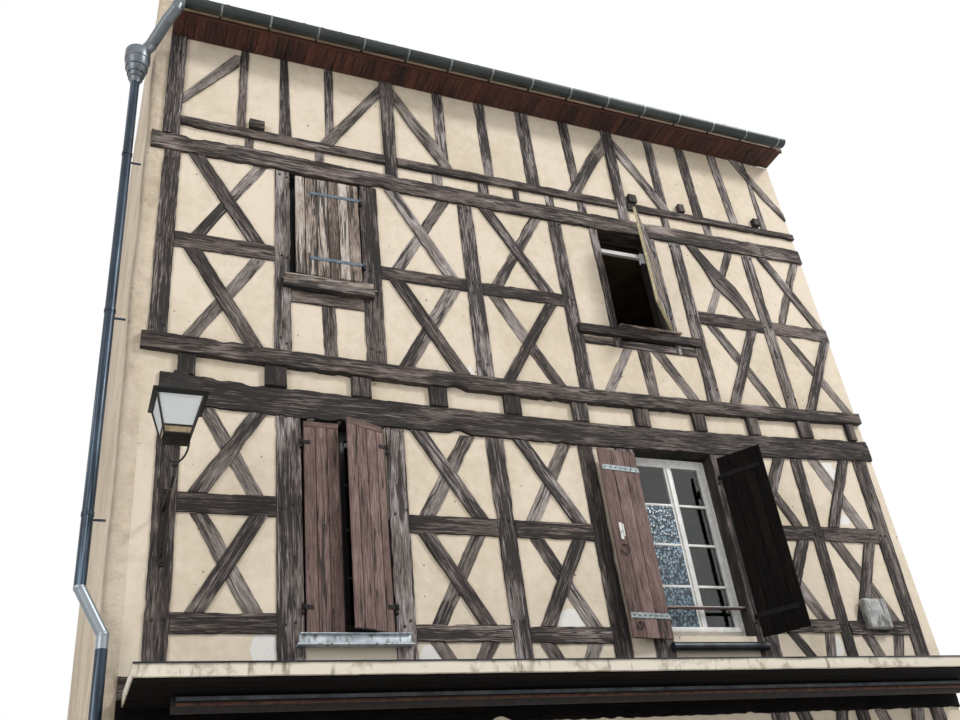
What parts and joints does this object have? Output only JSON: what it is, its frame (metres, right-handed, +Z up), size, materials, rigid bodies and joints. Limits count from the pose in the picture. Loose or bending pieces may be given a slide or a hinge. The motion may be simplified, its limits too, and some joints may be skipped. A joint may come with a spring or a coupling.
{
  "type": "half timbered town house",
  "caption": "Half timbered town house in a row: jettied sills, Saint Andrew's crosses in plaster, hinged board shutters, tiled saddle roof, eaves gutter, shop canopy and wall lantern.",
  "frame": {"origin": "on the ground at the middle of the eight metre square footprint", "axes": "+X along the street front to the viewer's right, +Y from the street into the house, +Z up"},
  "size_m": [8.03, 9.3395, 11.8466],
  "materials": {
    "old_oak": "weathered, checked and silvered, bare",
    "old_oak_rail": "weathered, bare",
    "shutter_boards": "weathered boards with worn paint",
    "soffit_boards": "stained boards",
    "infill_plaster": "lime plaster, floated, pitted",
    "wall_render": "rough render over rubble",
    "plinth_stone": "dressed limestone",
    "floor_boards": "plain boards on joists",
    "roof_boards": "sawn boards",
    "clay_tile": "fired clay, mossy",
    "zinc": "weathered zinc",
    "wrought_iron": "black, rusty at the edges",
    "strap_iron": "painted, weathered",
    "window_paint": "white paint, worn",
    "window_glass": "clear float",
    "canopy_board": "rendered edge with moss",
    "roller_metal": "dull",
    "door_paint": "varnished",
    "box_enamel": "grey enamel, weathered",
    "lantern_body": "black paint over metal and clear sides"
  },
  "bodies": {
    "house": {"attic_braces": "old_oak", "attic_girt": "old_oak", "attic_rail": "old_oak_rail", "attic_studs": "old_oak", "awning_cassette": "roller_metal", "canopy": "canopy_board", "casements": "window_paint", "doors": "door_paint", "fascias": "soffit_boards", "first_floor_sill_beam": "old_oak", "first_floor_top_plate": "old_oak", "front_braces_cut": "old_oak", "front_braces_through": "old_oak", "front_infill_lower": "infill_plaster", "front_infill_upper": "infill_plaster", "front_posts": "old_oak", "front_rails": "old_oak_rail", "ground_floor": "plinth_stone", "ground_plate": "old_oak", "guard_rail": "old_oak_rail", "gutters": "zinc", "hopper_head": "zinc", "joist_ends": "old_oak", "junction_box": "box_enamel", "lantern": "lantern_body", "lantern_bracket": "wrought_iron", "left_party_wall": "wall_render", "open_window_frame": "window_paint", "plinths": "plinth_stone", "rain_pipe": "zinc", "rear_beams": "old_oak", "rear_braces_cut": "old_oak", "rear_braces_through": "old_oak", "rear_infill": "infill_plaster", "rear_posts": "old_oak", "right_party_wall": "wall_render", "roof_deck_front": "roof_boards", "roof_deck_rear": "roof_boards", "roof_tiles_front": "clay_tile", "roof_tiles_rear": "clay_tile", "second_floor_sill_beam": "old_oak", "shutter_pintles": "wrought_iron", "soffits": "soffit_boards", "upper_floors": "floor_boards", "wall_plates": "old_oak", "window_frames": "window_paint", "window_glass": "window_glass", "window_sills": "old_oak_rail"},
    "shutter_first_left_a": {"shutter_first_left_a": "shutter_boards", "shutter_first_left_a_straps": "strap_iron"},
    "shutter_first_left_b": {"shutter_first_left_b": "shutter_boards", "shutter_first_left_b_straps": "strap_iron"},
    "shutter_first_right_a": {"shutter_first_right_a": "shutter_boards", "shutter_first_right_a_straps": "strap_iron"},
    "shutter_first_right_b": {"shutter_first_right_b": "shutter_boards", "shutter_first_right_b_straps": "strap_iron"},
    "shutter_second_left": {"shutter_second_left": "shutter_boards", "shutter_second_left_straps": "strap_iron"},
    "shutter_second_right": {"shutter_second_right": "shutter_boards", "shutter_second_right_straps": "strap_iron"}
  },
  "joints": [
    {"name": "shutter_first_left_a_hinge", "type": "hinge", "parent": "house", "child": "shutter_first_left_a", "pos_m": [-2.325, -4.046, 4.66], "axis": [0, 0, 1], "range_deg": [-175, 0]},
    {"name": "shutter_first_left_b_hinge", "type": "hinge", "parent": "house", "child": "shutter_first_left_b", "pos_m": [-1.58, -4.046, 4.66], "axis": [0, 0, 1], "range_deg": [-21, 154]},
    {"name": "shutter_first_right_a_hinge", "type": "hinge", "parent": "house", "child": "shutter_first_right_a", "pos_m": [0.92, -4.046, 4.66], "axis": [0, 0, 1], "range_deg": [0, 175]},
    {"name": "shutter_first_right_b_hinge", "type": "hinge", "parent": "house", "child": "shutter_first_right_b", "pos_m": [1.855, -4.046, 4.66], "axis": [0, 0, 1], "range_deg": [-126, 49]},
    {"name": "shutter_second_left_hinge", "type": "hinge", "parent": "house", "child": "shutter_second_left", "pos_m": [-1.68, -4.046, 7.7], "axis": [0, 0, 1], "range_deg": [0, 175]},
    {"name": "shutter_second_right_hinge", "type": "hinge", "parent": "house", "child": "shutter_second_right", "pos_m": [1.775, -4.046, 7.7], "axis": [0, 0, 1], "range_deg": [-45, 130]}
  ]
}
